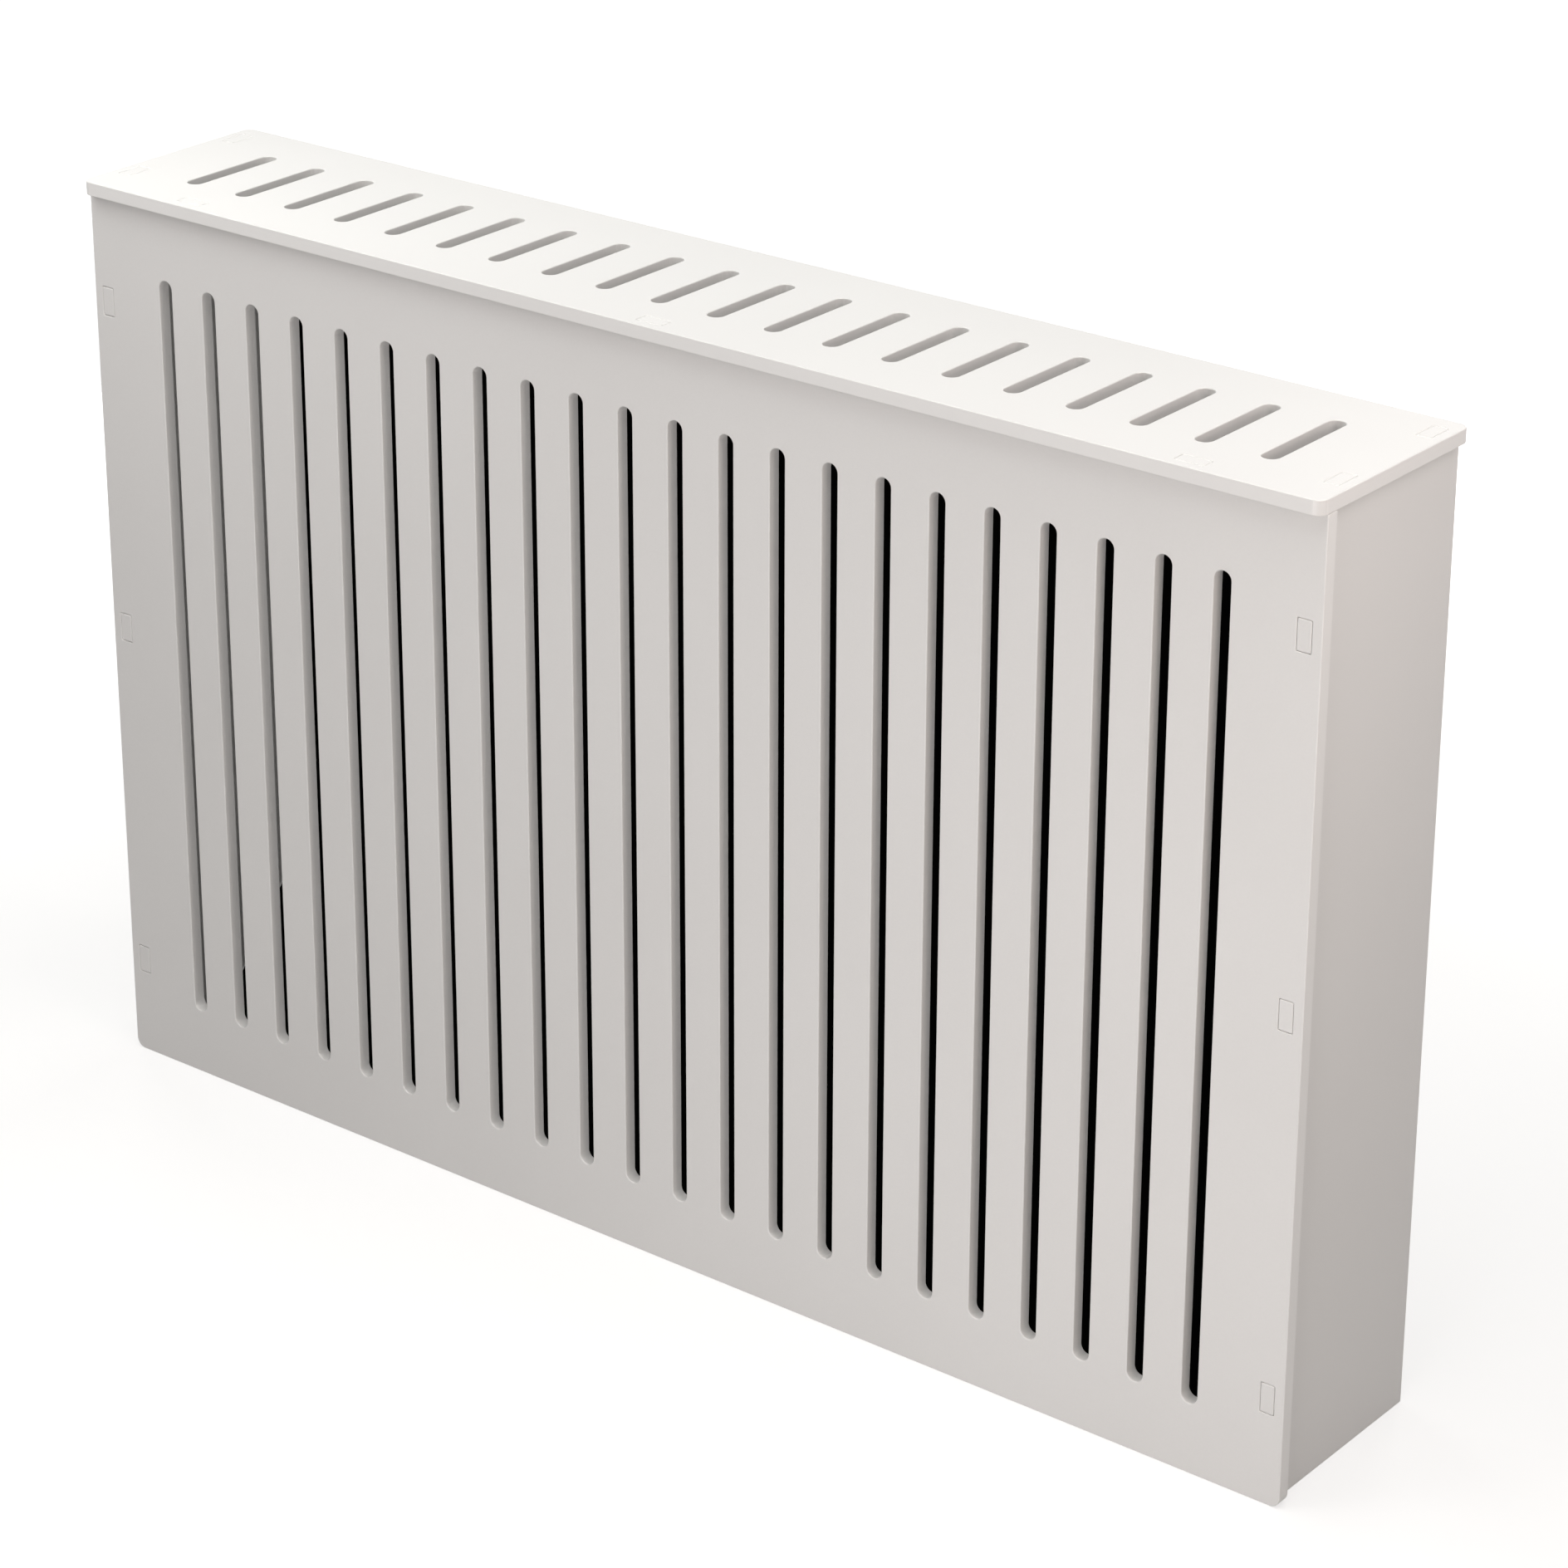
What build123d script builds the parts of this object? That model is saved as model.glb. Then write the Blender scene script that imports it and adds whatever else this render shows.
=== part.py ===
"""Radiator cover cabinet: a flat-pack housing of slotted, white-lacquered fibreboard.

The cover stands on the floor in front of a radiator, open at the back and below.  A slotted
front, a slotted lid and two plain sides interlock with tabs that pass right through the
neighbouring panel and finish flush with its face.  Inside, small folded steel angles and wood
screws hold the corners, a rail ties the sides together at the back, and two J hooks, screwed to
the wall, catch that rail so that the cover can't tip.

Millimetres.  X runs along the front, +Y towards the wall, +Z up.  The origin is on the floor,
under the middle of the box that the whole cover fills.
"""

import os

from build123d import *

# ---- Driving dimensions -------------------------------------------------------------------

# The cabinet
body_width = 1200.0  # over the outer faces of the two side panels
body_depth = 190.0  # front panel's face to the wall
cabinet_height = 814.0  # floor to the lid's top
board = 12.0  # thickness of every panel
overhang = 9.0  # front panel and lid past the sides, and lid past the front
corner_radius = 9.0  # front panel's lower corners and all four of the lid's
arris = 0.7  # eased edges that a hand can reach

# Slots that let the warm air through
slot_width = 14.5
front_slot_count = 22
front_slot_end_inset = 84.0  # end slots' centre lines from the front panel's ends
front_slot_floor_inset = 61.0
front_slot_lid_inset = 62.0
lid_slot_count = 20
lid_slot_end_inset = 78.0  # end slots' centre lines from the lid's ends
lid_slot_edge_inset = 49.5  # slot ends from the lid's long edges

# Tabs, each as long as the neighbouring board is thick
tab_width = 25.0
tab_gap = 0.3  # all round each tab in its mortise
lower_tab_height = 91.0
middle_tab_height = 411.0
upper_tab_drop = 94.0  # below the lid's underside
front_lid_tab_inset = 38.5  # on the side panels, behind the front panel's face
rear_lid_tab_inset = 29.0  # on the side panels, ahead of their rear edges
outer_lid_tab_inset = 116.0  # on the front panel, from its ends

# Rail that ties the side panels together under the lid, at the back
rail_height = 60.0

# Folded steel angles
angle_leg = 20.0
angle_width = 16.0
angle_steel = 1.5
angle_bend = 2.5  # outer radius of the fold
angle_hole_radius = 2.1
angle_hole_inset = 12.0  # hole's centre from the corner, on both legs
lower_angle_height = 250.0
upper_angle_drop = 243.0  # below the lid's underside
lid_fixing_inset = 350.0  # angles under the lid, from the cabinet's ends

# Wood screws.  They and the holes that they hide are round in truth: flats keep them light here.
screw_flat_count = 8  # of the shank and of its holes
screw_head_flat_count = 12
screw_radius = 1.7
screw_length = 9.5  # under the head
screw_tip = 2.5
screw_head_radius = 3.4
screw_head_height = 1.8
screw_head_bevel = 0.8  # of the head's rim
pilot_gap = 0.1  # round the screw in its pilot hole
pilot_spare = 0.5  # pilot hole past the screw's tip

# Wall hooks
hook_inset = 150.0  # hooks' centre lines from the cabinet's ends
hook_width = 30.0
hook_steel = 2.0
hook_bend = 3.0  # outer radius of the folds
hook_gap = 0.3  # between the rail and the hook
hook_lip = 14.0  # height of the lip over the tray
hook_plate = 46.0  # height of the plate on the wall, below the tray
hook_hole_radius = 2.75
hook_hole_drop = 24.0  # hole's centre below the tray

# ---- Sizes that follow --------------------------------------------------------------------

panel_length = body_width + 2 * overhang
lid_depth = body_depth + overhang
lid_underside = cabinet_height - board
side_outer_x = body_width / 2
side_inner_x = side_outer_x - board

lid_front_y = -lid_depth / 2
front_face_y = lid_front_y + overhang
front_back_y = front_face_y + board
wall_y = lid_depth / 2
rail_front_y = wall_y - board
rail_bottom = lid_underside - rail_height

mortise_width = tab_width + 2 * tab_gap
mortise_board = board + 2 * tab_gap

front_slot_length = lid_underside - front_slot_floor_inset - front_slot_lid_inset
front_slot_middle_z = front_slot_floor_inset + front_slot_length / 2
front_slot_pitch = (panel_length - 2 * front_slot_end_inset) / (front_slot_count - 1)
lid_slot_length = lid_depth - 2 * lid_slot_edge_inset
lid_slot_pitch = (panel_length - 2 * lid_slot_end_inset) / (lid_slot_count - 1)

front_tab_heights = [lower_tab_height, middle_tab_height, lid_underside - upper_tab_drop]
side_lid_tab_ys = [front_face_y + front_lid_tab_inset, wall_y - rear_lid_tab_inset]
outer_lid_tab_x = panel_length / 2 - outer_lid_tab_inset
front_lid_tab_xs = [-outer_lid_tab_x, 0, outer_lid_tab_x]
board_middle_x = side_outer_x - board / 2

os.makedirs("parts", exist_ok=True)


def save(part, name):
    """Label a finished sub-part and write it as one STEP file."""
    part.label = name
    export_step(part, f"parts/{name}.step")


# ---- Corners where an angle sits ----------------------------------------------------------
# Each corner is a plane: its origin is where two boards meet, at the middle of the angle's
# width, its x axis runs along the first leg and its y axis along the second.


def upright_corner(side, corner_y, second_leg_y, height):
    """Corner between a board that lies across the cabinet and the side panel on one side."""
    first_leg = Vector(-side, 0, 0)
    second_leg = Vector(0, second_leg_y, 0)
    return Plane((side * side_inner_x, corner_y, height), x_dir=first_leg, z_dir=first_leg.cross(second_leg))


def lid_corner(corner_x, corner_y, first_leg_y):
    """Corner between the lid's underside and a board that hangs below it, across the cabinet."""
    first_leg = Vector(0, first_leg_y, 0)
    second_leg = Vector(0, 0, -1)
    return Plane((corner_x, corner_y, lid_underside), x_dir=first_leg, z_dir=first_leg.cross(second_leg))


upper_angle_height = lid_underside - upper_angle_drop
lid_fixing_x = side_outer_x - lid_fixing_inset
rail_middle_z = lid_underside - rail_height / 2
side_of = {"left": -1, "right": 1}
height_of = {"lower": lower_angle_height, "upper": upper_angle_height}

front_corners = {
    f"front_angle_{side}_{level}": upright_corner(side_of[side], front_back_y, 1, height_of[level])
    for side in side_of
    for level in height_of
}
rail_corners = {
    f"rail_angle_{side}": upright_corner(side_of[side], rail_front_y, -1, rail_middle_z) for side in side_of
}
lid_front_corners = {
    f"lid_angle_front_{side}": lid_corner(side_of[side] * lid_fixing_x, front_back_y, 1) for side in side_of
}
lid_rail_corners = {
    f"lid_angle_rear_{side}": lid_corner(side_of[side] * lid_fixing_x, rail_front_y, -1) for side in side_of
}
lid_corners = {**lid_front_corners, **lid_rail_corners}


def first_leg_seat(corner):
    """Screw's seat on the first leg: a plane on its free face whose z axis points at the head."""
    hole = corner.from_local_coords((angle_hole_inset, angle_steel, 0))
    return Plane(hole, x_dir=corner.x_dir, z_dir=corner.y_dir)


def second_leg_seat(corner):
    """Screw's seat on the second leg, as on the first."""
    hole = corner.from_local_coords((angle_steel, angle_hole_inset, 0))
    return Plane(hole, x_dir=corner.y_dir, z_dir=corner.x_dir)


# Blind pilot hole in the board under an angle, from the angle's free face down
with BuildPart() as pilot_hole:
    with BuildSketch():
        RegularPolygon(screw_radius + pilot_gap, screw_flat_count)
    extrude(amount=-screw_length - pilot_spare)


def drill_pilots(seats):
    """Sink the pilot holes for a set of screws into the board that is being built."""
    with Locations(*seats):
        add(pilot_hole.part, mode=Mode.SUBTRACT)


# ---- Front panel --------------------------------------------------------------------------
# One board with a row of upright slots, round at both ends.  Three tabs on its top edge pass
# through the lid, and three mortises near each end take the side panels' tabs.

front_plane = Plane.XZ.offset(-front_face_y)

with BuildPart() as front_panel:
    with BuildSketch(front_plane) as front_outline:
        with Locations((0, lid_underside / 2)):
            Rectangle(panel_length, lid_underside)
        fillet(front_outline.vertices().group_by(Axis.Y)[0], radius=corner_radius)
        with Locations((0, front_slot_middle_z)):
            with GridLocations(front_slot_pitch, 0, front_slot_count, 1):
                SlotOverall(front_slot_length, slot_width, rotation=90, mode=Mode.SUBTRACT)
    extrude(amount=-board)
    front_face = front_panel.faces().sort_by(Axis.Y)[0]
    below_lid = front_face.outer_wire().edges().sort_by(Axis.Z)[:-1]
    chamfer(below_lid, length=arris)
    with BuildSketch(front_plane):
        with Locations(*[(x, lid_underside + board / 2) for x in front_lid_tab_xs]):
            Rectangle(tab_width, board)
    extrude(amount=-board)
    with BuildSketch(front_plane):
        with Locations(*[(x, z) for x in (-board_middle_x, board_middle_x) for z in front_tab_heights]):
            Rectangle(mortise_board, mortise_width)
    extrude(amount=-board, mode=Mode.SUBTRACT)
    drill_pilots([first_leg_seat(corner) for corner in front_corners.values()])
    drill_pilots([second_leg_seat(corner) for corner in lid_front_corners.values()])

save(front_panel.part, "front_panel")

# ---- Lid ----------------------------------------------------------------------------------
# The top board, slotted from front to back, with a mortise for every tab that comes up from
# the front and the sides.

lid_plane = Plane.XY.offset(lid_underside)

with BuildPart() as lid:
    with BuildSketch(lid_plane):
        RectangleRounded(panel_length, lid_depth, corner_radius)
        with GridLocations(lid_slot_pitch, 0, lid_slot_count, 1):
            SlotOverall(lid_slot_length, slot_width, rotation=90, mode=Mode.SUBTRACT)
    extrude(amount=board)
    lid_faces = lid.faces().filter_by(Axis.Z)
    chamfer([edge for face in lid_faces for edge in face.outer_wire().edges()], length=arris)
    with BuildSketch(lid_plane):
        with Locations(*[(x, front_face_y + board / 2) for x in front_lid_tab_xs]):
            Rectangle(mortise_width, mortise_board)
        with Locations(*[(x, y) for x in (-board_middle_x, board_middle_x) for y in side_lid_tab_ys]):
            Rectangle(mortise_board, mortise_width)
    extrude(amount=board, mode=Mode.SUBTRACT)
    drill_pilots([first_leg_seat(corner) for corner in lid_corners.values()])

save(lid.part, "lid")

# ---- Side panels --------------------------------------------------------------------------
# Plain boards behind the front panel.  Three tabs reach forward through it, two reach up
# through the lid, and all of them end flush with the far face.


def side_panel(side, name):
    """One side panel: side is -1 on the left and 1 on the right."""
    corners = [corner for label, corner in front_corners.items() if name in label]
    rail_corner = rail_corners[f"rail_angle_{name}"]
    with BuildPart() as panel:
        with BuildSketch(Plane.YZ.offset(side * side_outer_x)):
            with Locations(((front_back_y + wall_y) / 2, lid_underside / 2)):
                Rectangle(wall_y - front_back_y, lid_underside)
        extrude(amount=-side * board)
        outer_face = panel.faces().sort_by(Axis.X)[-1 if side > 0 else 0]
        rear_edge = outer_face.edges().sort_by(Axis.Y)[-1]
        floor_edge = outer_face.edges().sort_by(Axis.Z)[0]
        chamfer([rear_edge, floor_edge], length=arris)
        with BuildSketch(Plane.YZ.offset(side * side_outer_x)):
            with Locations(*[(front_face_y + board / 2, z) for z in front_tab_heights]):
                Rectangle(board, tab_width)
            with Locations(*[(y, lid_underside + board / 2) for y in side_lid_tab_ys]):
                Rectangle(tab_width, board)
        extrude(amount=-side * board)
        drill_pilots([second_leg_seat(corner) for corner in [*corners, rail_corner]])
    return panel.part


for name, side in side_of.items():
    save(side_panel(side, name), f"side_panel_{name}")

# ---- Rear rail ----------------------------------------------------------------------------
# A strip of the same board on edge between the side panels, tight under the lid, against the
# wall.

with BuildPart() as rear_rail:
    with BuildSketch(Plane.XZ.offset(-wall_y)):
        with Locations((0, rail_middle_z)):
            Rectangle(2 * side_inner_x, rail_height)
    extrude(amount=board)
    drill_pilots([first_leg_seat(corner) for corner in rail_corners.values()])
    drill_pilots([second_leg_seat(corner) for corner in lid_rail_corners.values()])

save(rear_rail.part, "rear_rail")

# ---- Steel angles -------------------------------------------------------------------------
# Zinc-plated strip folded to a right angle, with a hole in each leg.


def steel_angle(corner):
    """One folded angle, seated in the corner."""
    middle = angle_steel / 2
    with BuildPart() as angle:
        with BuildSketch(corner):
            with BuildLine():
                FilletPolyline(
                    (angle_leg, middle), (middle, middle), (middle, angle_leg), radius=angle_bend - middle
                )
            trace(line_width=angle_steel)
        extrude(amount=angle_width / 2, both=True)
        with BuildSketch(first_leg_seat(corner), second_leg_seat(corner)):
            RegularPolygon(angle_hole_radius, screw_flat_count)
        extrude(amount=-angle_steel, mode=Mode.SUBTRACT)
    return angle.part


for name, corner in {**front_corners, **rail_corners, **lid_corners}.items():
    save(steel_angle(corner), name)

# ---- Wood screws --------------------------------------------------------------------------
# Short pan-head screws that hold the angles to the boards.  One is made with its head's seat at
# the origin, and is then set on every hole.

with BuildPart() as wood_screw:
    with BuildSketch():
        RegularPolygon(screw_head_radius, screw_head_flat_count)
    extrude(amount=screw_head_height)
    chamfer(wood_screw.edges().group_by(Axis.Z)[-1], length=screw_head_bevel)
    with BuildSketch():
        RegularPolygon(screw_radius, screw_flat_count)
    extrude(amount=screw_tip - screw_length)
    shank_end = wood_screw.faces().sort_by(Axis.Z)[0]
    loft(sections=[shank_end, Vertex(0, 0, -screw_length)])


def wood_screws(corners):
    """All the screws of a set of angles, as one group of separate solids."""
    with BuildPart() as screws:
        for corner in corners:
            with Locations(first_leg_seat(corner), second_leg_seat(corner)):
                add(wood_screw.part)
    return screws.part


save(wood_screws(front_corners.values()), "front_angle_screws")
save(wood_screws(rail_corners.values()), "rail_angle_screws")
save(wood_screws(lid_corners.values()), "lid_angle_screws")

# ---- Wall hooks ---------------------------------------------------------------------------
# Steel strip folded to a J: a plate flat on the wall, a tray under the rail and a lip that
# stands up in front of it.

plate_y = wall_y - hook_steel / 2
lip_y = rail_front_y - hook_gap - hook_steel / 2
tray_top = rail_bottom - hook_gap
tray_z = tray_top - hook_steel / 2

for name, side in side_of.items():
    hook_x = side * (side_outer_x - hook_inset)
    with BuildPart() as wall_hook:
        with BuildSketch(Plane.YZ.offset(hook_x)):
            with BuildLine():
                FilletPolyline(
                    (plate_y, tray_top - hook_plate),
                    (plate_y, tray_z),
                    (lip_y, tray_z),
                    (lip_y, tray_top + hook_lip),
                    radius=hook_bend - hook_steel / 2,
                )
            trace(line_width=hook_steel)
        extrude(amount=hook_width / 2, both=True)
        with Locations(Plane((hook_x, wall_y, tray_top - hook_hole_drop), z_dir=(0, 1, 0))):
            Hole(hook_hole_radius, depth=hook_steel)
    save(wall_hook.part, f"wall_hook_{name}")
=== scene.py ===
"""Radiator cover cabinet in satin white lacquer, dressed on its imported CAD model.

Metres.  X runs along the front, +Y towards the wall, +Z up.  The origin is on the floor, under
the middle of the cover.  The sections follow the cover as it is put together, then come the
floor it stands on, the light and the camera.
"""

import bpy
import numpy as np
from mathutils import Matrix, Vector
from mathutils.geometry import delaunay_2d_cdt


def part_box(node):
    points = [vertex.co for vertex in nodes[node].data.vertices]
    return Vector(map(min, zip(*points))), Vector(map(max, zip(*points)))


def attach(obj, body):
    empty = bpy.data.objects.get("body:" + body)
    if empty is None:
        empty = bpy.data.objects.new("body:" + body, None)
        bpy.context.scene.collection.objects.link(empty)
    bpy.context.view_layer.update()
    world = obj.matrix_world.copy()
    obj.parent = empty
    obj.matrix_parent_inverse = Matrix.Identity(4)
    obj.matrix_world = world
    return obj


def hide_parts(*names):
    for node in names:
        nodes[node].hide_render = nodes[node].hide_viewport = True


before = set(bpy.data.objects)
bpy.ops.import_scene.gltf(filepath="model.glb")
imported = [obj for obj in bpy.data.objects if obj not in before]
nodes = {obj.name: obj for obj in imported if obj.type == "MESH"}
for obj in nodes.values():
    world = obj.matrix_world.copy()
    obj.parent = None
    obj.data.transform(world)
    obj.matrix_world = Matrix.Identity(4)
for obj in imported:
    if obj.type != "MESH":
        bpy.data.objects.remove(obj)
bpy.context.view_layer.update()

# ---- Side panels --------------------------------------------------------------------------
# Two plain 12 mm boards of medium-density fibreboard, sawn to size and sprayed with satin white
# lacquer.  Sanding has eased their rims and tab ends.  Their outer edges are painted a touch
# whiter than the faces, a painted highlight for the light that they catch.


def node_maker(material):
    """Gives two short calls for a material: one adds a node, one joins an output to an input."""
    tree = material.node_tree

    def add(kind, **settings):
        node = tree.nodes.new(kind)
        for key, value in settings.items():
            setattr(node, key, value)
        return node

    def join(source, output, target, socket):
        tree.links.new(source.outputs[output], target.inputs[socket])

    return add, join


def noise_at(add, join, place, waves_per_metre, detail, roughness=0.5, stretch=(1, 1, 1)):
    """Noise with so many blobs to the metre, drawn out along an axis by a small stretch."""
    scaled = add("ShaderNodeMapping")
    scaled.inputs["Scale"].default_value = stretch
    noise = add("ShaderNodeTexNoise")
    noise.inputs["Scale"].default_value = waves_per_metre
    noise.inputs["Detail"].default_value = detail
    noise.inputs["Roughness"].default_value = roughness
    join(place, "Vector", scaled, "Vector")
    join(scaled, "Vector", noise, "Vector")
    return noise


shaded_lacquer = (0.840, 0.828, 0.812, 1)
pale_lacquer = (0.875, 0.864, 0.848, 1)
shiniest_lacquer = 0.30
dullest_lacquer = 0.38
clouds_per_metre = 4.0
specks_per_metre = 700.0
peel_per_metre = 260.0
speck_share = 0.35
peel_height = 0.00003
grain_height = 0.000008

# Colour and share of the painted highlight that whitens the boards' outer edges.
edge_highlight_colour = (1.0, 0.99, 0.975, 1)
edge_highlight_share = 0.45
noise_low, noise_high = 0.3, 0.7


def lacquer(name, shift, reach=None):
    """Sprayed satin lacquer: tone = broad cloud + fine speck, gloss = cloud, relief = orange peel
    + fine grain.  The shift moves the patterns, so that no two boards are alike.  Reach is how
    far a face goes from the middle along X and Y; past it the edges get a painted highlight."""
    material = bpy.data.materials.new(name)
    material.use_nodes = True
    add, join = node_maker(material)
    shader = material.node_tree.nodes["Principled BSDF"]
    shader.inputs["IOR"].default_value = 1.5
    coordinates = add("ShaderNodeTexCoord")
    place = add("ShaderNodeMapping")
    place.inputs["Location"].default_value = shift
    join(coordinates, "Object", place, "Vector")

    cloud = noise_at(add, join, place, clouds_per_metre, 3.0)
    speck = noise_at(add, join, place, specks_per_metre, 2.0)
    peel = noise_at(add, join, place, peel_per_metre, 2.0)

    tones = add("ShaderNodeMix", data_type="FLOAT", clamp_factor=True)
    tones.inputs["Factor"].default_value = speck_share
    join(cloud, "Fac", tones, "A")
    join(speck, "Fac", tones, "B")
    tone = add("ShaderNodeValToRGB")
    tone.color_ramp.elements[0].position = noise_low
    tone.color_ramp.elements[0].color = shaded_lacquer
    tone.color_ramp.elements[1].position = noise_high
    tone.color_ramp.elements[1].color = pale_lacquer
    join(tones, "Result", tone, "Fac")
    join(tone, "Color", shader, "Base Color")
    # Painted highlight: past reach the tone is mixed towards white, for the light the edges catch.
    if reach:
        distance = add("ShaderNodeVectorMath", operation="ABSOLUTE")
        join(coordinates, "Object", distance, 0)
        split = add("ShaderNodeSeparateXYZ")
        join(distance, "Vector", split, "Vector")
        either = add("ShaderNodeMath", operation="MAXIMUM")
        for socket, face in enumerate(reach):
            beyond = add("ShaderNodeMath", operation="GREATER_THAN")
            beyond.inputs[1].default_value = face
            join(split, "XY"[socket], beyond, 0)
            join(beyond, "Value", either, socket)
        highlight_amount = add("ShaderNodeMath", operation="MULTIPLY")
        highlight_amount.inputs[1].default_value = edge_highlight_share
        join(either, "Value", highlight_amount, 0)
        highlighted = add("ShaderNodeMix", data_type="RGBA")
        colour_a, colour_b, mixed_colour = 6, 7, 2
        highlighted.inputs[colour_b].default_value = edge_highlight_colour
        join(highlight_amount, "Value", highlighted, "Factor")
        join(tone, "Color", highlighted, colour_a)
        join(highlighted, mixed_colour, shader, "Base Color")

    gloss = add("ShaderNodeMapRange")
    gloss.inputs["From Min"].default_value = noise_low
    gloss.inputs["From Max"].default_value = noise_high
    gloss.inputs["To Min"].default_value = shiniest_lacquer
    gloss.inputs["To Max"].default_value = dullest_lacquer
    join(tones, "Result", gloss, "Value")
    join(gloss, "Result", shader, "Roughness")

    peel_relief = add("ShaderNodeBump")
    peel_relief.inputs["Strength"].default_value = 1.0
    peel_relief.inputs["Distance"].default_value = peel_height
    join(peel, "Fac", peel_relief, "Height")
    grain_relief = add("ShaderNodeBump")
    grain_relief.inputs["Strength"].default_value = 1.0
    grain_relief.inputs["Distance"].default_value = grain_height
    join(speck, "Fac", grain_relief, "Height")
    join(peel_relief, "Normal", grain_relief, "Normal")
    join(grain_relief, "Normal", shader, "Normal")
    return material


board_easing = 0.0009
corner_radius = 0.0011
sharp_turn = np.radians(50)
corner_steps = 4
rim_steps = 4
pilot_flats = 8
flat_within = 0.000002
bore_margin = 0.00001


def read_board(name, axis, side):
    """Merges a CAD board's loose triangles.  Gives its points and the triangles, then the
    outlines of its flat face on one side, with the board on their left, and the outlines of the
    eight-sided pilot holes among them."""
    mesh = nodes[name].data
    mesh.calc_loop_triangles()
    points = np.empty(3 * len(mesh.vertices))
    mesh.vertices.foreach_get("co", points)
    corners = np.empty(3 * len(mesh.loop_triangles), int)
    mesh.loop_triangles.foreach_get("vertices", corners)
    points, merged = np.unique(points.reshape(-1, 3).round(6), axis=0, return_inverse=True)
    triangles = merged.ravel()[corners].reshape(-1, 3)

    level = (side * points[:, axis]).max()
    flat = (abs(side * points[triangles][:, :, axis] - level) < flat_within).all(axis=1)
    edges = {pair for a, b, c in triangles[flat].tolist() for pair in ((a, b), (b, c), (c, a))}
    onward = {a: b for a, b in sorted(edges) if (b, a) not in edges}
    outlines, pilots = [], []
    while onward:
        start, point = onward.popitem()
        outline = [start]
        while point != start:
            outline.append(point)
            point = onward.pop(point)
        (pilots if len(outline) == pilot_flats else outlines).append(outline[::side])
    return points, triangles, outlines, pilots


def soften_corners(outline):
    """Puts a small arc in place of each sharp corner.  Point of an arc = middle + radius x (sin t
    along the arriving edge - cos t towards the middle), with t from 0 to the corner's turn."""
    softened = []
    corners = zip(np.roll(outline, 1, axis=0), outline, np.roll(outline, -1, axis=0))
    for before, corner, after in corners:
        arriving, leaving = corner - before, after - corner
        arriving, leaving = arriving / np.hypot(*arriving), leaving / np.hypot(*leaving)
        turn = np.arctan2(arriving[0] * leaving[1] - arriving[1] * leaving[0], arriving @ leaving)
        if abs(turn) < sharp_turn:
            softened.append(corner)
            continue
        across = np.sign(turn) * np.array([-arriving[1], arriving[0]])
        middle = corner - arriving * corner_radius * np.tan(abs(turn) / 2) + across * corner_radius
        for angle in np.linspace(0, abs(turn), corner_steps + 1):
            step = np.sin(angle) * arriving - np.cos(angle) * across
            softened.append(middle + corner_radius * step)
    return np.array(softened)


def directions_at(outline):
    """For each corner of an outline with the board on its left: the step inward that moves both
    edges by one, and the outward normal, a mean of both edges' normals by their lengths."""
    edge = np.roll(outline, -1, axis=0) - outline
    length = np.hypot(*edge.T)[:, None]
    left = np.stack([-edge[:, 1], edge[:, 0]], -1) / length
    left_before = np.roll(left, 1, axis=0)
    inward = (left + left_before) / (1 + (left * left_before).sum(axis=1, keepdims=True))
    mean = length * left + np.roll(length * left, 1, axis=0)
    return inward, -mean / np.hypot(*mean.T)[:, None]


def fill_flat(rings):
    """Triangles that fill the flat face between its outlines.  Of a constrained Delaunay net
    they are those from whose middle a ray crosses the outlines an odd number of times."""
    spots = np.concatenate(rings)
    numbers = np.split(np.arange(len(spots)), np.cumsum([len(ring) for ring in rings])[:-1])
    ends = np.concatenate([np.stack([run, np.roll(run, -1)], -1) for run in numbers])
    merging_distance = 0.0000001
    net = delaunay_2d_cdt([Vector(spot) for spot in spots], ends.tolist(), [], 0, merging_distance)
    source = [min(found) for found in net[3]]
    triangles = np.array([[source[corner] for corner in face] for face in net[2]])
    middle = spots[triangles].mean(axis=1)[:, None]
    start, end = spots[ends[:, 0]], spots[ends[:, 1]]
    passed = (start[:, 1] > middle[..., 1]) != (end[:, 1] > middle[..., 1])
    rise = np.where(start[:, 1] == end[:, 1], 1, end[:, 1] - start[:, 1])
    crossed = start[:, 0] + (middle[..., 1] - start[:, 1]) / rise * (end[:, 0] - start[:, 0])
    inside = (passed & (crossed > middle[..., 0])).sum(axis=1) % 2 == 1
    return triangles[inside]


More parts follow.
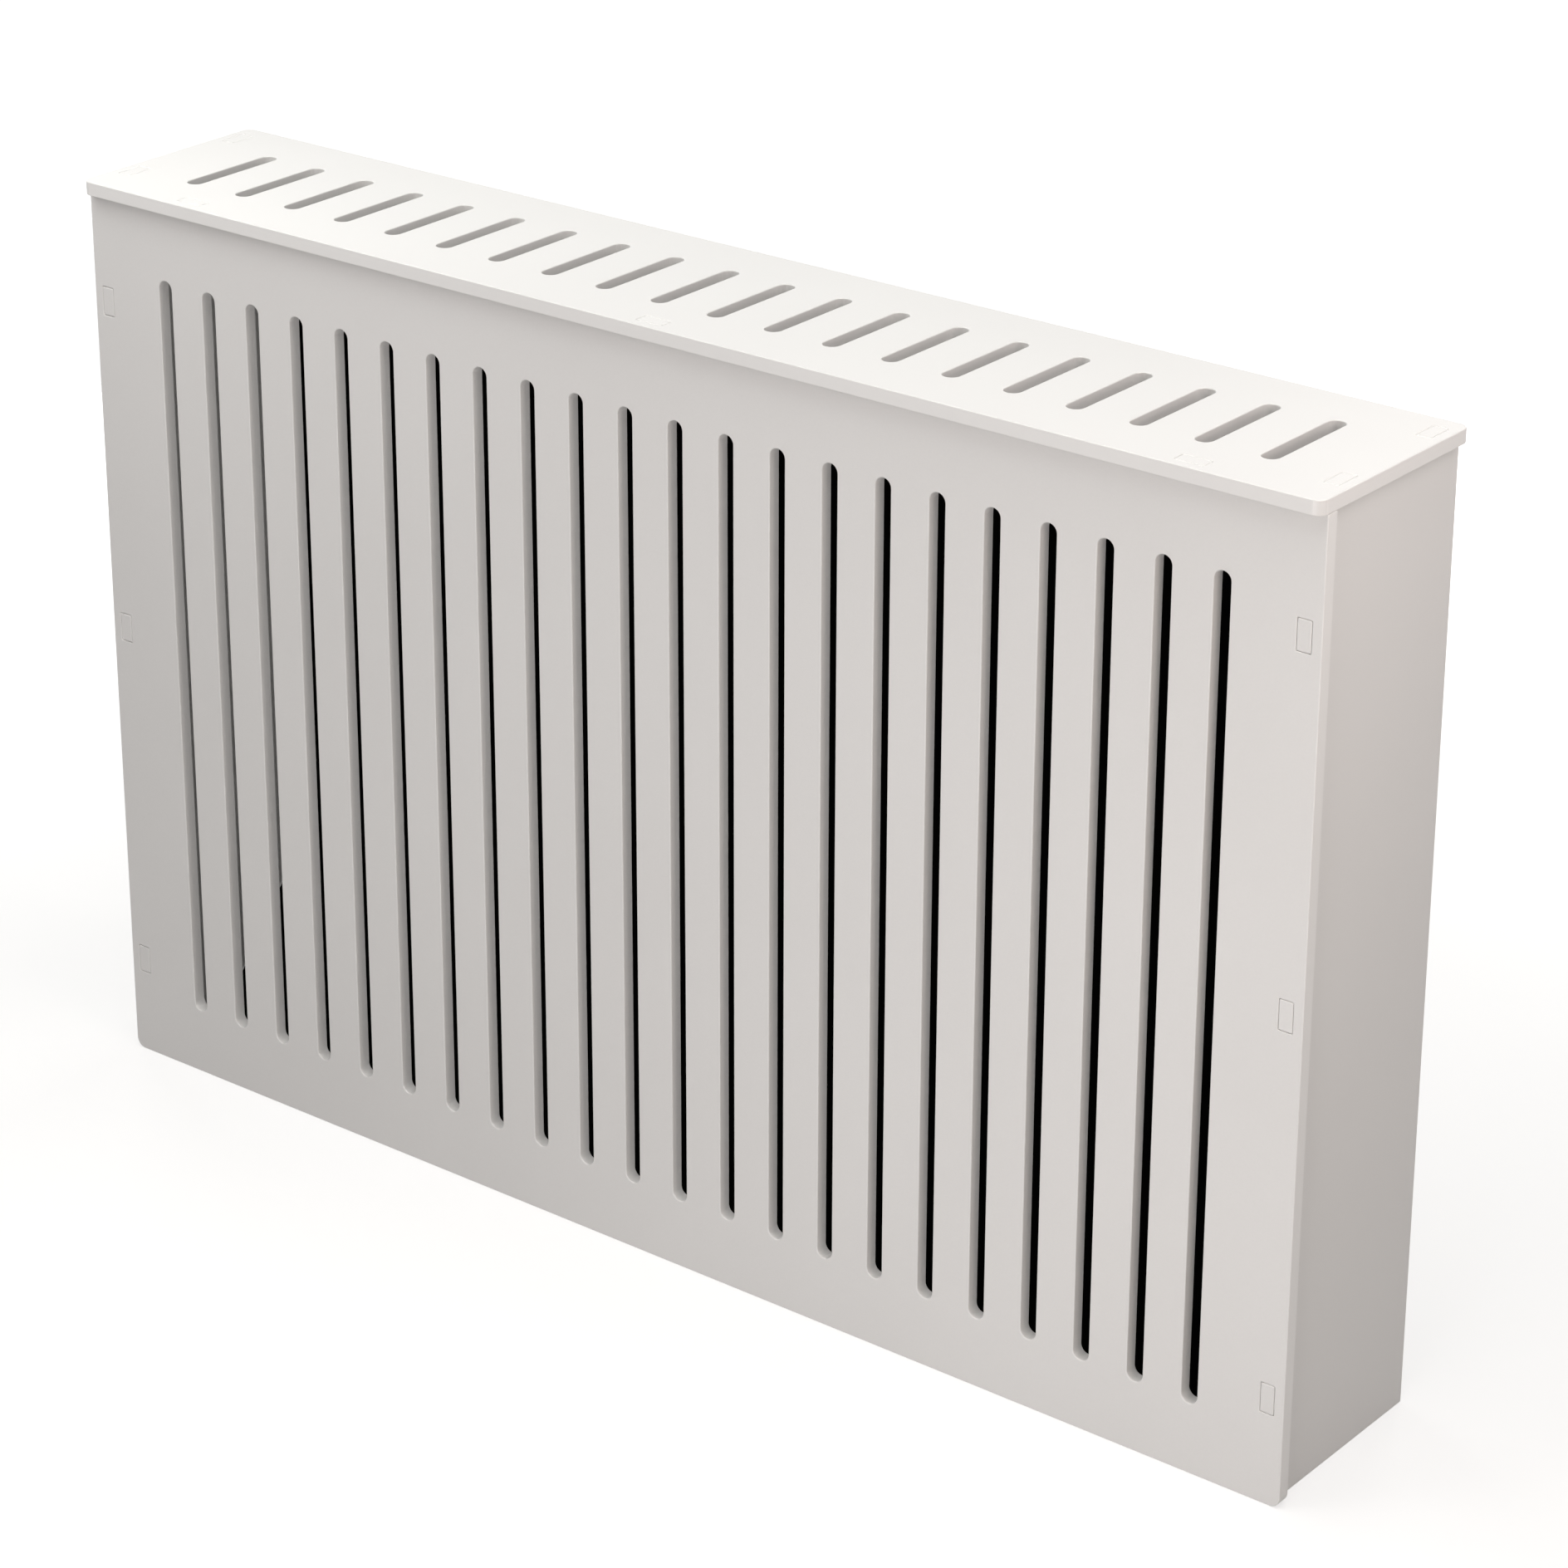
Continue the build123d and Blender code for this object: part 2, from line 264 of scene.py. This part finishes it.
def ease_board(name, replaced, axis, side, material, grown=0.0):
    """A board with rounded rims, from the outlines of its CAD node's flat face on one side.

    A point is given by a row, from one face's edge over its rim, straight through the board and
    over the other rim, and by its place along an outline.  With t from 0 to 90 degrees over a
    rim, inset = easing x (1 - cos t) and depth below the face = easing x (1 - sin t).  grown is
    what an arris took off the outer edge of the CAD node's face.
    """
    points, triangles, outlines, pilots = read_board(replaced, axis, side)
    plane = [(axis + 1) % 3, (axis + 2) % 3]
    low, high = points[:, axis].min(), points[:, axis].max()
    turn = np.radians(np.linspace(0, 90, rim_steps + 1))
    tilt = np.concatenate([-turn[::-1], turn])
    inset = board_easing * (1 - np.cos(tilt))
    depth = board_easing * (1 - np.sin(turn))
    level = np.concatenate([low + depth[::-1], high - depth])
    facing = np.zeros(3)
    facing[axis] = 1

    places, normals, faces, rings, used = [], [], [], {0: [], -1: []}, 0
    widest = max(outlines, key=lambda outline: np.ptp(points[outline], axis=0).sum())
    for outline in outlines:
        flat = points[outline][:, plane]
        if outline is widest:
            flat = flat - grown * directions_at(flat)[0]
        flat = soften_corners(flat)
        inward, outward = directions_at(flat)
        place = np.empty((len(level), len(flat), 3))
        place[..., plane] = flat + inset[:, None, None] * inward
        place[..., axis] = level[:, None]
        normal = np.empty_like(place)
        normal[..., plane] = np.cos(tilt)[:, None, None] * outward
        normal[..., axis] = np.sin(tilt)[:, None]
        index = used + np.arange(place[..., 0].size).reshape(place.shape[:2])
        beside = np.roll(index, -1, axis=1)
        quads = np.stack([index[:-1], beside[:-1], beside[1:], index[1:]], -1).reshape(-1, 4)
        places.append(place.reshape(-1, 3))
        normals.append(normal.reshape(-1, 3)[quads - used].reshape(-1, 3))
        faces += quads.tolist()
        rings[0].append(index[0])
        rings[-1].append(index[-1])
        used += index.size

    for pilot in pilots:
        rim = points[pilot]
        radius = np.hypot(*(rim - rim.mean(axis=0))[:, plane].T).max()
        away = np.hypot(*np.moveaxis(points[triangles] - rim.mean(axis=0), -1, 0)[plane])
        bore = triangles[(away < radius + bore_margin).all(axis=1)]
        own, numbered = np.unique(bore, return_inverse=True)
        a, b, c = np.moveaxis(points[bore], 1, 0)
        across = np.cross(b - a, c - a)
        places.append(points[own])
        normals.append(np.repeat(across / np.linalg.norm(across, axis=1, keepdims=True), 3, axis=0))
        faces += (used + numbered.reshape(-1, 3)).tolist()
        rings[-1 if side > 0 else 0].append(used + np.searchsorted(own, pilot))
        used += len(own)

    places = np.concatenate(places)
    for end, ring_set in rings.items():
        numbers = np.concatenate(ring_set)
        filled = numbers[fill_flat([places[ring][:, plane] for ring in ring_set])]
        a, b, c = np.moveaxis(places[filled], 1, 0)
        wound = (np.cross(b - a, c - a)[:, axis] > 0) == (end == -1)
        filled = np.where(wound[:, None], filled, filled[:, ::-1])
        faces += filled.tolist()
        normals.append(np.tile(facing if end == -1 else -facing, (filled.size, 1)))

    mesh = bpy.data.meshes.new(name)
    mesh.from_pydata(places, [], faces)
    mesh.polygons.foreach_set("use_smooth", [True] * len(mesh.polygons))
    mesh.normals_split_custom_set(np.concatenate(normals))
    mesh.materials.append(material)
    board = bpy.data.objects.new(name, mesh)
    bpy.context.scene.collection.objects.link(board)
    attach(board, "root")
    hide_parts(replaced)


# Past this reach the side boards' front and rear edges get the painted highlight.
side_highlight_reach = (1.0, 0.0987)
left_lacquer = lacquer("lacquer_left_side", (3.1, 0.4, 1.7), side_highlight_reach)
right_lacquer = lacquer("lacquer_right_side", (7.3, 2.9, 0.2), side_highlight_reach)
ease_board("left_side_board", "side_panel_left", 0, 1, left_lacquer)
ease_board("right_side_board", "side_panel_right", 0, -1, right_lacquer)

# ---- Front panel --------------------------------------------------------------------------
# One 12 mm fibreboard panel with 22 upright slots routed through it, round at both ends.  The
# sides' tabs fill its mortises flush, and its own three tabs go up through the lid.

# Past this reach the front's two end faces get the painted highlight.
front_highlight_reach = (0.6087, 1.0)
front_lacquer = lacquer("lacquer_front", (0.0, 0.0, 0.0), front_highlight_reach)
ease_board("front_board", "front_panel", 1, 1, front_lacquer)

# ---- Rear rail ----------------------------------------------------------------------------
# A 60 mm strip of the same board, on edge against the wall between the sides, screwed to them
# and to the lid through folded angles.

rail_lacquer = lacquer("lacquer_rail", (1.9, 5.5, 4.1))
ease_board("rail_board", "rear_rail", 1, -1, rail_lacquer)

# ---- Lid ----------------------------------------------------------------------------------
# The top board, with 20 slots routed from front to back.  It is let down over the tabs of the
# front and the sides, which end flush with its face.

lid_arris = 0.0007
# Past this reach the lid's edges all round get the painted highlight.
lid_highlight_reach = (0.6087, 0.0992)
lid_lacquer = lacquer("lacquer_lid", (5.7, 8.3, 2.6), lid_highlight_reach)
ease_board("lid_board", "lid", 2, -1, lid_lacquer, grown=lid_arris)

# ---- Folded angles ------------------------------------------------------------------------
# Ten angles of 1.5 mm zinc-plated steel strip, punched and folded, two screws in each.  They
# hold the front to the sides, the rail to the sides and the lid to front and rail.


coplanar = np.radians(0.5)
joined_within = 0.000005


def finish_node(name, material, easing):
    """Puts a material on a CAD node and eases its sharp edges by a small round, while the folds
    and the holes' walls, whose faces meet at a small angle, stay as they are."""
    node = nodes[name]
    for slot in node.material_slots:
        slot.material = material
    weld = node.modifiers.new("joined triangles", "WELD")
    weld.merge_threshold = joined_within
    flat = node.modifiers.new("flat faces", "DECIMATE")
    flat.decimate_type = "DISSOLVE"
    flat.angle_limit = coplanar
    eased = node.modifiers.new("eased edges", "BEVEL")
    eased.width = easing
    eased.segments = 3
    eased.limit_method = "ANGLE"
    eased.angle_limit = sharp_turn
    eased.use_clamp_overlap = False
    shading = node.modifiers.new("even shading", "WEIGHTED_NORMAL")
    shading.keep_sharp = True
    shading.weight = 100
    node.data.polygons.foreach_set("use_smooth", [True] * len(node.data.polygons))


bright_zinc = (0.70, 0.71, 0.73)
dark_crystal = 0.78
light_crystal = 1.08
shiniest_zinc = 0.26
dullest_zinc = 0.44
rolling_lines_per_metre = 3000.0
crystals_per_metre = 220.0
crystal_low, crystal_high = 0.32, 0.68
zinc_relief = 0.00001


def zinc(name, shift, along, tint=bright_zinc):
    """Bright zinc on cold-rolled strip: fine rolling lines drawn out along one axis, a soft
    cloud of crystal, and a roughness that follows both."""
    material = bpy.data.materials.new(name)
    material.use_nodes = True
    add, join = node_maker(material)
    shader = material.node_tree.nodes["Principled BSDF"]
    shader.inputs["Metallic"].default_value = 1.0
    coordinates = add("ShaderNodeTexCoord")
    place = add("ShaderNodeMapping")
    place.inputs["Location"].default_value = shift
    join(coordinates, "Object", place, "Vector")

    lines = noise_at(add, join, place, rolling_lines_per_metre, 3.0, stretch=along)
    cloud = noise_at(add, join, place, crystals_per_metre, 4.0, 0.6)
    both = add("ShaderNodeMix", data_type="FLOAT")
    both.inputs["Factor"].default_value = 0.5
    join(lines, "Fac", both, "A")
    join(cloud, "Fac", both, "B")

    tone = add("ShaderNodeValToRGB")
    tone.color_ramp.elements[0].position = crystal_low
    tone.color_ramp.elements[0].color = (*[dark_crystal * part for part in tint], 1)
    tone.color_ramp.elements[1].position = crystal_high
    tone.color_ramp.elements[1].color = (*[light_crystal * part for part in tint], 1)
    join(both, "Result", tone, "Fac")
    join(tone, "Color", shader, "Base Color")

    gloss = add("ShaderNodeMapRange")
    gloss.inputs["From Min"].default_value = noise_low
    gloss.inputs["From Max"].default_value = noise_high
    gloss.inputs["To Min"].default_value = shiniest_zinc
    gloss.inputs["To Max"].default_value = dullest_zinc
    join(both, "Result", gloss, "Value")
    join(gloss, "Result", shader, "Roughness")

    relief = add("ShaderNodeBump")
    relief.inputs["Strength"].default_value = 1.0
    relief.inputs["Distance"].default_value = zinc_relief
    join(both, "Result", relief, "Height")
    join(relief, "Normal", shader, "Normal")
    return material


sheared_edge = 0.00015
rolled_upright = (1, 1, 0.04)
rolled_along_front = (0.04, 1, 1)

hands = ("left", "right")
front_angles = [f"front_angle_{hand}_{level}" for hand in hands for level in ("lower", "upper")]
rail_angles = ["rail_angle_left", "rail_angle_right"]
lid_front_angles = ["lid_angle_front_left", "lid_angle_front_right"]
lid_rear_angles = ["lid_angle_rear_left", "lid_angle_rear_right"]

upright_zinc = zinc("zinc_upright_angles", (0.3, 0.1, 0.5), rolled_upright)
lid_zinc = zinc("zinc_lid_angles", (0.8, 0.6, 0.2), rolled_along_front)
for name in front_angles + rail_angles:
    finish_node(name, upright_zinc, sheared_edge)
for name in lid_front_angles + lid_rear_angles:
    finish_node(name, lid_zinc, sheared_edge)

# ---- Wood screws --------------------------------------------------------------------------
# Twenty pan-head wood screws of zinc-plated steel, 3.5 x 9.5 mm, with a cross recess, driven
# through the angles into blind pilot holes in the boards.

head_radius = 0.0033
head_height = 0.0018
pan_fall = 0.45
recess_reach = 0.0016
recess_half_width = 0.00042
recess_depth = 0.0012
recess_side_slope = 6
recess_end_slope = 5
core_radius = 0.00115
thread_rise = 0.0005
thread_pitch = 0.0014
ridge_steepness = 2.2
shank_length = 0.0095
tip_length = 0.0025
blunt_tip = 0.03
innermost_row = 0.04
head_rows = 15
shank_rows = 56
screw_columns = 32
screw_inset = 0.012
strip_thickness = 0.0015


def screw_surface():
    """Vertices and faces of one screw, its head's seat at the origin and its axis along z.

    A point is given by a row, from the head's middle over its rim and down the shank to the tip,
    and by an angle round the axis.  Head: height = pan curve - depth x soft cross.  Shank:
    radius = core + rise x triangle wave of (height / pitch - angle / full turn), times a taper.
    """
    turn = np.linspace(0, 2 * np.pi, screw_columns, endpoint=False)

    reach = np.linspace(innermost_row, 1, head_rows)[:, None] * np.ones_like(turn)
    pan = head_height * (1 - pan_fall * reach**4) ** 0.5
    across, up = reach * head_radius * np.cos(turn), reach * head_radius * np.sin(turn)
    near = np.minimum(abs(across), abs(up)) / recess_half_width
    far = np.maximum(abs(across), abs(up)) / recess_reach
    sides_fall = np.clip(recess_side_slope * (1 - near), 0, 1)
    cross = sides_fall * np.clip(recess_end_slope * (1 - far), 0, 1)
    head = np.stack([across, up, pan - recess_depth * cross * (1 - pan_fall * far)], -1)

    rim_radius = np.array([1.0, 1.0, 0.97, 0.56]) * head_radius
    rim_height = np.array([0.55, 0.12, 0.0, 0.0]) * head_height
    rim = np.stack(
        [
            rim_radius[:, None] * np.cos(turn),
            rim_radius[:, None] * np.sin(turn),
            rim_height[:, None] * np.ones_like(turn),
        ],
        -1,
    )

    depth = np.linspace(0, 1, shank_rows)[:, None] * shank_length
    phase = (depth / thread_pitch - turn / (2 * np.pi)) % 1
    ridge = np.clip(1 - abs(2 * phase - 1) * ridge_steepness, 0, 1)
    taper = np.clip((shank_length - depth) / tip_length, blunt_tip, 1)
    thick = (core_radius + thread_rise * ridge) * taper
    shank = np.stack([thick * np.cos(turn), thick * np.sin(turn), -depth * np.ones_like(turn)], -1)

    rows = np.concatenate([head, rim, shank])
    count, columns = rows.shape[:2]
    index = np.arange(count * columns).reshape(count, columns)
    across_next = np.roll(index, -1, axis=1)
    quads = np.stack([index[:-1], index[1:], across_next[1:], across_next[:-1]], -1)
    middle, point = count * columns, count * columns + 1
    top = np.stack([np.full(columns, middle), index[0], across_next[0]], -1)
    end = np.stack([index[-1], np.full(columns, point), across_next[-1]], -1)
    poles = np.array([[0, 0, head_height - recess_depth], [0, 0, -shank_length]])
    faces = quads.reshape(-1, 4).tolist() + top.tolist() + end.tolist()
    return np.concatenate([rows.reshape(-1, 3), poles]), faces


def angle_seats(name, first_leg, second_leg):
    """Both screw seats of one angle: (point, head's direction, a direction along the strip).
    Point = corner + inset along one leg + strip's thickness along the other."""
    low, high = (np.array(corner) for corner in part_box(name))
    first_leg, second_leg = np.array(first_leg, float), np.array(second_leg, float)
    leg = abs(first_leg @ (high - low))
    corner = (low + high) / 2 - leg / 2 * (first_leg + second_leg)
    return [
        (corner + screw_inset * along + strip_thickness * head, head, along)
        for along, head in ((first_leg, second_leg), (second_leg, first_leg))
    ]


first_twist = 1.1
further_twist = 2.4
creased = np.radians(40)


def set_screws(name, seats, replaced, material):
    """One mesh with a screw on every seat: point = seat + the screw's own three measures along
    three directions at right angles, turned about its axis by a twist of its own."""
    points, faces = screw_surface()
    all_points, all_faces = [], []
    for number, (seat, axis, along) in enumerate(seats):
        side = np.cross(axis, along)
        twist = first_twist + further_twist * number
        turned = np.cos(twist) * along + np.sin(twist) * side
        basis = np.stack([turned, np.cross(axis, turned), axis])
        all_faces += [[corner + len(points) * number for corner in face] for face in faces]
        all_points.append(points @ basis + seat)
    mesh = bpy.data.meshes.new(name)
    mesh.from_pydata(np.concatenate(all_points), [], all_faces)
    mesh.polygons.foreach_set("use_smooth", [True] * len(mesh.polygons))
    mesh.set_sharp_from_angle(angle=creased)
    mesh.materials.append(material)
    screws = bpy.data.objects.new(name, mesh)
    bpy.context.scene.collection.objects.link(screws)
    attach(screws, "root")
    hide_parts(replaced)


right, left, forward, back, down = (1, 0, 0), (-1, 0, 0), (0, -1, 0), (0, 1, 0), (0, 0, -1)
front_seats, rail_seats, lid_seats = [], [], []
for name in front_angles:
    front_seats += angle_seats(name, right if "left" in name else left, back)
for name in rail_angles:
    rail_seats += angle_seats(name, right if "left" in name else left, forward)
for name in lid_front_angles:
    lid_seats += angle_seats(name, back, down)
for name in lid_rear_angles:
    lid_seats += angle_seats(name, forward, down)

unrolled = (1, 1, 1)
screw_tint = (0.74, 0.74, 0.73)
screw_zinc = zinc("zinc_screws", (0.2, 0.9, 0.4), unrolled, screw_tint)
set_screws("front_screws", front_seats, "front_angle_screws", screw_zinc)
set_screws("rail_screws", rail_seats, "rail_angle_screws", screw_zinc)
set_screws("lid_screws", lid_seats, "lid_angle_screws", screw_zinc)

# ---- Wall hooks ---------------------------------------------------------------------------
# Two J hooks of 2 mm zinc-plated steel, each screwed to the wall through one hole.  Their lips
# catch the rear rail from in front, so that the cover stays against the wall.

hook_zinc = zinc("zinc_wall_hooks", (0.5, 0.2, 0.7), rolled_upright)
for name in ("wall_hook_left", "wall_hook_right"):
    finish_node(name, hook_zinc, sheared_edge)

# ---- Floor, and the painted shade behind the slots ----------------------------------------
# A plain pale floor.  A dark card is painted shade behind the slots, in place of the shaded
# wall and inside.  It passes in front of the hooks' lips and ends at the rail, and it is seen only
# from the front, so a view from behind looks into the cover.


def add_stage(name, points, faces, material):
    """A flat piece of the studio, which is no part of the cover."""
    mesh = bpy.data.meshes.new(name)
    mesh.from_pydata(points, [], faces)
    mesh.materials.append(material)
    piece = bpy.data.objects.new(name, mesh)
    bpy.context.scene.collection.objects.link(piece)


floor_colour = (0.50, 0.495, 0.49, 1)
glow_under_cover = 0.6
full_glow = 1.0
glow_starts = 0.8
glow_is_full = 3.0


def seen_itself(add, join):
    """Tells the rays that show a surface itself, from the camera, through glass or by a
    reflection, from those that only carry its light to another."""
    path = add("ShaderNodeLightPath")
    straight = add("ShaderNodeMath", operation="MAXIMUM")
    join(path, "Is Camera Ray", straight, 0)
    join(path, "Is Transmission Ray", straight, 1)
    seen = add("ShaderNodeMath", operation="MAXIMUM")
    join(straight, "Value", seen, 0)
    join(path, "Is Glossy Ray", seen, 1)
    return seen


def pale_floor():
    """Matt pale floor.  Where it is seen itself, a glow of its own is added, so that lit floor is
    white and the cover's shadow stays."""
    material = bpy.data.materials.new("pale_floor")
    material.use_nodes = True
    add, join = node_maker(material)
    tree = material.node_tree
    tree.nodes.remove(tree.nodes["Principled BSDF"])
    matt = add("ShaderNodeBsdfDiffuse")
    matt.inputs["Color"].default_value = floor_colour
    glow = add("ShaderNodeEmission")
    glow.inputs["Color"].default_value = (1, 1, 1, 1)
    spot = add("ShaderNodeTexCoord")
    away = add("ShaderNodeVectorMath", operation="LENGTH")
    join(spot, "Object", away, 0)
    level = add("ShaderNodeMapRange")
    level.inputs["From Min"].default_value = glow_starts
    level.inputs["From Max"].default_value = glow_is_full
    level.inputs["To Min"].default_value = glow_under_cover
    level.inputs["To Max"].default_value = full_glow
    join(away, "Value", level, "Value")
    strength = add("ShaderNodeMath", operation="MULTIPLY")
    join(seen_itself(add, join), "Value", strength, 0)
    join(level, "Result", strength, 1)
    join(strength, "Value", glow, "Strength")
    total = add("ShaderNodeAddShader")
    join(matt, "BSDF", total, 0)
    join(glow, "Emission", total, 1)
    join(total, "Shader", tree.nodes["Material Output"], "Surface")
    return material


# The black of the card that is painted shade behind the slots.
painted_shade_black = (0.004, 0.004, 0.004, 1)
light_let_through = 0.15


def shade_card():
    """Painted shade: black from the front and clear from behind.  Light passes in through it,
    but thinned.
    """
    material = bpy.data.materials.new("shade_card")
    material.use_nodes = True
    add, join = node_maker(material)
    tree = material.node_tree
    tree.nodes.remove(tree.nodes["Principled BSDF"])
    black = add("ShaderNodeBsdfDiffuse")
    black.inputs["Color"].default_value = painted_shade_black
    clear = add("ShaderNodeBsdfTransparent")
    side = add("ShaderNodeNewGeometry")
    lit = add("ShaderNodeMath", operation="SUBTRACT")
    lit.inputs[0].default_value = 1.0
    join(seen_itself(add, join), "Value", lit, 1)
    passed = add("ShaderNodeMath", operation="MULTIPLY")
    passed.inputs[1].default_value = light_let_through
    join(lit, "Value", passed, 0)
    either = add("ShaderNodeMath", operation="MAXIMUM")
    join(side, "Backfacing", either, 0)
    join(passed, "Value", either, 1)
    mixed = add("ShaderNodeMixShader")
    join(either, "Value", mixed, "Fac")
    join(black, "BSDF", mixed, 1)
    join(clear, "BSDF", mixed, 2)
    join(mixed, "Shader", tree.nodes["Material Output"], "Surface")
    return material


floor_half = 12.0
floor_corners = ((-1, -1), (1, -1), (1, 1), (-1, 1))
floor_points = [(x * floor_half, y * floor_half, 0) for x, y in floor_corners]
add_stage("floor", floor_points, [(0, 1, 2, 3)], pale_floor())

card_half = 0.5875
card_outline = [(-0.005, 0.0005), (0.0995, 0.13), (0.0995, 0.69), (0.0845, 0.695), (0.0845, 0.745)]
card_points = [(x, y, z) for y, z in card_outline for x in (-card_half, card_half)]
card_faces = [(row, row + 1, row + 3, row + 2) for row in range(0, 2 * len(card_outline) - 2, 2)]
# The card of painted shade behind the slots.
add_stage("painted_shade_card", card_points, card_faces, shade_card())

# ---- Studio light -------------------------------------------------------------------------
# A wide soft box overhead, small ones round the cover at its left, right, back and low in front,
# and a dim surround, which the camera and the reflections see as white.

cover_middle = Vector((0, 0, 0.45))


def soft_box(name, place, size, power, tint):
    """Square soft box aimed at the cover's middle."""
    lamp = bpy.data.lights.new(name, "AREA")
    lamp.size = size
    lamp.energy = power
    lamp.color = tint
    box = bpy.data.objects.new(name, lamp)
    box.location = place
    box.rotation_mode = "QUATERNION"
    box.rotation_quaternion = (cover_middle - Vector(place)).to_track_quat("-Z", "Y")
    box.visible_camera = False
    bpy.context.scene.collection.objects.link(box)


soft_box("overhead_box", place=(0.0, -0.3, 3.0), size=2.4, power=42.3, tint=(0.99, 1.0, 0.97))
soft_box("left_top_box", place=(-0.75, -0.35, 1.35), size=0.5, power=1.7, tint=(1.0, 1.0, 0.98))
soft_box("left_front_box", place=(-0.6, -1.3, 1.7), size=0.8, power=4.9, tint=(1.0, 0.93, 0.92))
soft_box("low_front_box", place=(0.7, -1.3, 0.25), size=0.7, power=6.6, tint=(1.0, 0.97, 0.97))
soft_box("right_top_box", place=(1.2, 0.1, 1.6), size=0.6, power=4.0, tint=(1.0, 0.93, 0.92))
soft_box("right_side_box", place=(1.5, -0.5, 1.0), size=0.5, power=3.9, tint=(1.0, 0.89, 0.825))
soft_box("rear_box", place=(-0.3, 2.2, 0.6), size=0.8, power=16.0, tint=(1.0, 0.99, 0.98))
soft_box("left_rear_box", place=(-2.0, 1.0, 0.5), size=0.8, power=9.0, tint=(1.0, 0.99, 0.98))

surround_strength = 0.1
surround = bpy.data.worlds.new("surround")
surround.use_nodes = True
add, join = node_maker(surround)
soft = surround.node_tree.nodes["Background"]
soft.inputs["Color"].default_value = (1, 1, 1, 1)
soft.inputs["Strength"].default_value = surround_strength
white = add("ShaderNodeBackground")
white.inputs["Color"].default_value = (1, 1, 1, 1)
white.inputs["Strength"].default_value = 1.0
mixed = add("ShaderNodeMixShader")
join(seen_itself(add, join), "Value", mixed, "Fac")
join(soft, "Background", mixed, 1)
join(white, "Background", mixed, 2)
join(mixed, "Shader", surround.node_tree.nodes["World Output"], "Surface")
bpy.context.scene.world = surround

# ---- Camera -------------------------------------------------------------------------------
# It stands to the right of the cover and above it, level, with a long lens and a small shift,
# as worked out from the slots and edges of the picture.

camera_place = Vector((2.1849, -2.6975, 1.9532))
camera_aim = Vector((0.0286, 0.0, 0.5230))

lens = bpy.data.cameras.new("camera")
lens.lens = 107.80
lens.sensor_width = 36.0
lens.shift_x = 0.0204
lens.shift_y = -0.0863
lens.clip_start = 0.05
lens.clip_end = 100.0
camera = bpy.data.objects.new("camera", lens)
camera.location = camera_place
camera.rotation_mode = "QUATERNION"
camera.rotation_quaternion = (camera_aim - camera_place).to_track_quat("-Z", "Y")
bpy.context.scene.collection.objects.link(camera)
bpy.context.scene.camera = camera
bpy.context.scene.view_settings.view_transform = "Standard"
